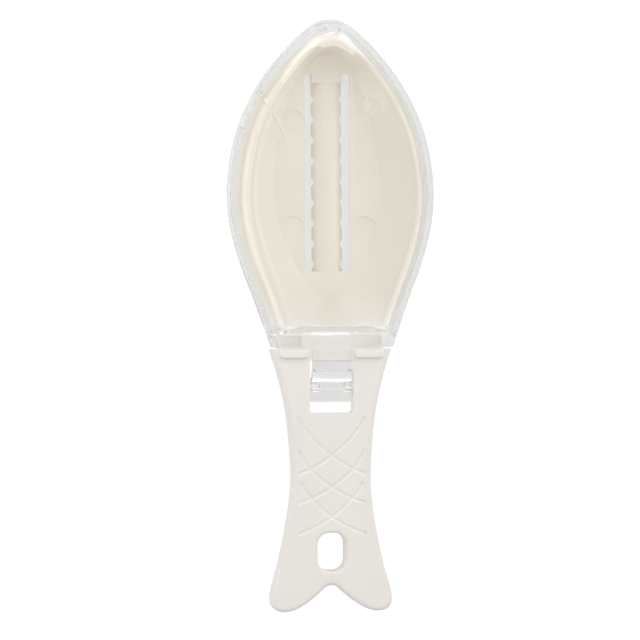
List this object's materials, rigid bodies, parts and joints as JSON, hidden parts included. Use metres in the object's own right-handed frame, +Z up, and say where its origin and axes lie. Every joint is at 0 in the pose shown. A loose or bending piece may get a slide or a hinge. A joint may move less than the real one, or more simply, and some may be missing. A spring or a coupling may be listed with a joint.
{
  "type": "fish scaler",
  "caption": "Fish-shaped hand scaler: scale-catching pan with a toothed scraping bar, forked-tail handle and a hinged clear cover.",
  "frame": {"origin": "middle of the scaler's footprint, on the surface it lies on", "axes": "+Z up, out of the clear cover; +Y towards the nose, away from the tail; +X across the pan"},
  "size_m": [0.0808, 0.23, 0.0262],
  "materials": {
    "ivory_plastic": "satin moulded",
    "clear_plastic": "clear, polished"
  },
  "bodies": {
    "body": {"base": "ivory_plastic"},
    "cover": {"lid": "clear_plastic"}
  },
  "joints": [
    {"name": "lid_hinge", "type": "hinge", "parent": "body", "child": "cover", "pos_m": [0, -0.0268, 0.009], "axis": [1, 0, 0], "range_deg": [0, 120]}
  ]
}
